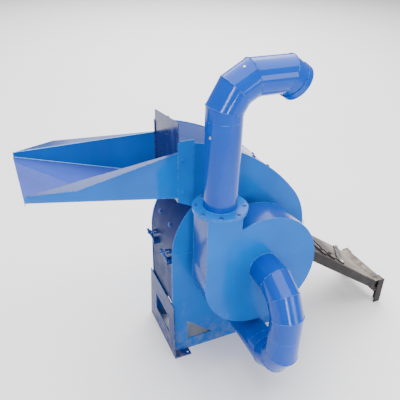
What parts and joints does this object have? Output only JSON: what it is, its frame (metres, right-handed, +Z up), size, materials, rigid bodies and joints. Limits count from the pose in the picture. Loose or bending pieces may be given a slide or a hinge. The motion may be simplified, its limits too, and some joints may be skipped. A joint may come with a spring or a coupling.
{
  "type": "hammer mill",
  "caption": "Hammer mill with hinged drum cover, sloping feed chute, sliding gate, side blower with U suction pipe and mitred spout, and a sloping motor frame.",
  "frame": {"origin": "on the floor, under the middle of the rotor shaft, level with the outer face of the front housing plate", "axes": "+X right, away from the feed chute; +Y back, from the blower towards the belt pulley, along the rotor shaft; +Z up"},
  "size_m": [1.9405, 0.9781, 1.595],
  "materials": {
    "blue_enamel": "gloss enamel, sprayed",
    "frame_paint": "dark satin paint",
    "deck_paint": "pale satin paint, dusty",
    "zinc_bolts": "zinc plated",
    "tool_steel": "hardened, dull",
    "bright_steel": "turned bright",
    "pulley_iron": "machined grey iron",
    "bearing_iron": "painted casting"
  },
  "bodies": {
    "base": {"lower_front_plate": "blue_enamel", "lower_back_plate": "blue_enamel", "lower_rim_sheets": "blue_enamel", "stand_side_panels": "blue_enamel", "foot_plates": "blue_enamel", "collector_funnel": "blue_enamel", "screen": "tool_steel", "screen_seats": "blue_enamel", "blower_front_plate": "blue_enamel", "blower_back_plate": "blue_enamel", "blower_scroll": "blue_enamel", "blower_standoffs": "blue_enamel", "outlet_flange": "blue_enamel", "pipe_flange": "blue_enamel", "flange_bolts": "zinc_bolts", "discharge_pipe": "blue_enamel", "discharge_elbow": "blue_enamel", "spout_ring": "blue_enamel", "suction_top_bend": "blue_enamel", "suction_bottom_bend": "blue_enamel", "suction_return_leg": "blue_enamel", "bearing_brackets": "blue_enamel", "bearing_housings": "bearing_iron", "bearing_bolts": "zinc_bolts", "hinge_base_knuckles": "blue_enamel", "hinge_pin": "bright_steel", "latch_ears": "blue_enamel", "motor_mount_plate": "frame_paint", "motor_side_rails": "frame_paint", "motor_outer_beam": "frame_paint", "motor_frame_legs": "frame_paint", "motor_deck": "deck_paint", "motor_diagonal": "deck_paint", "motor_frame_bolts": "zinc_bolts"},
    "cover": {"cover_front_plate": "blue_enamel", "cover_back_plate": "blue_enamel", "cover_rim": "blue_enamel", "cover_liner": "tool_steel", "liner_bolts": "zinc_bolts", "throat_sheets": "blue_enamel", "throat_strips": "blue_enamel", "gate_guides": "blue_enamel", "chute_floor": "blue_enamel", "chute_near_wall": "blue_enamel", "chute_far_wall": "blue_enamel", "hinge_cover_knuckles": "blue_enamel", "latch_tabs": "blue_enamel"},
    "gate": {"gate_plate": "blue_enamel"},
    "front_swing_bolt": {"swing_bolt_front": "zinc_bolts"},
    "back_swing_bolt": {"swing_bolt_back": "zinc_bolts"},
    "motor_base": {"motor_bars": "frame_paint"},
    "rotor": {"rotor_shaft": "bright_steel", "rotor_discs": "tool_steel", "hammer_pins": "tool_steel", "blower_impeller": "blue_enamel", "belt_pulley": "pulley_iron"},
    "hammers_1": {"hammer_row_1": "tool_steel"},
    "hammers_2": {"hammer_row_2": "tool_steel"},
    "hammers_3": {"hammer_row_3": "tool_steel"},
    "hammers_4": {"hammer_row_4": "tool_steel"}
  },
  "joints": [
    {"name": "cover_hinge", "type": "hinge", "parent": "base", "child": "cover", "pos_m": [0.39, 0.15, 0.643], "axis": [0, 1, 0], "range_deg": [0, 90]},
    {"name": "gate_slide", "type": "slide", "parent": "cover", "child": "gate", "axis": [0, 0, 1], "range_m": [0, 0.22]},
    {"name": "front_swing_bolt_pivot", "type": "hinge", "parent": "base", "child": "front_swing_bolt", "pos_m": [-0.378, 0.035, 0.6], "axis": [0, 1, 0], "range_deg": [-70, 24]},
    {"name": "back_swing_bolt_pivot", "type": "hinge", "parent": "base", "child": "back_swing_bolt", "pos_m": [-0.378, 0.222, 0.6], "axis": [0, 1, 0], "range_deg": [-70, 24]},
    {"name": "motor_base_slide", "type": "slide", "parent": "base", "child": "motor_base", "axis": [0.8165, 0, -0.5773], "range_m": [-0.03, 0.03]},
    {"name": "rotor_spin", "type": "hinge", "parent": "base", "child": "rotor", "pos_m": [0, 0.15, 0.643], "axis": [0, 1, 0], "continuous": true},
    {"name": "hammer_pivot_1", "type": "hinge", "parent": "rotor", "child": "hammers_1", "pos_m": [0.15203, 0.15, 0.79503], "axis": [0, 1, 0], "continuous": true},
    {"name": "hammer_pivot_2", "type": "hinge", "parent": "rotor", "child": "hammers_2", "pos_m": [-0.15203, 0.15, 0.79503], "axis": [0, 1, 0], "continuous": true},
    {"name": "hammer_pivot_3", "type": "hinge", "parent": "rotor", "child": "hammers_3", "pos_m": [-0.15203, 0.15, 0.49097], "axis": [0, 1, 0], "continuous": true},
    {"name": "hammer_pivot_4", "type": "hinge", "parent": "rotor", "child": "hammers_4", "pos_m": [0.15203, 0.15, 0.49097], "axis": [0, 1, 0], "continuous": true}
  ]
}
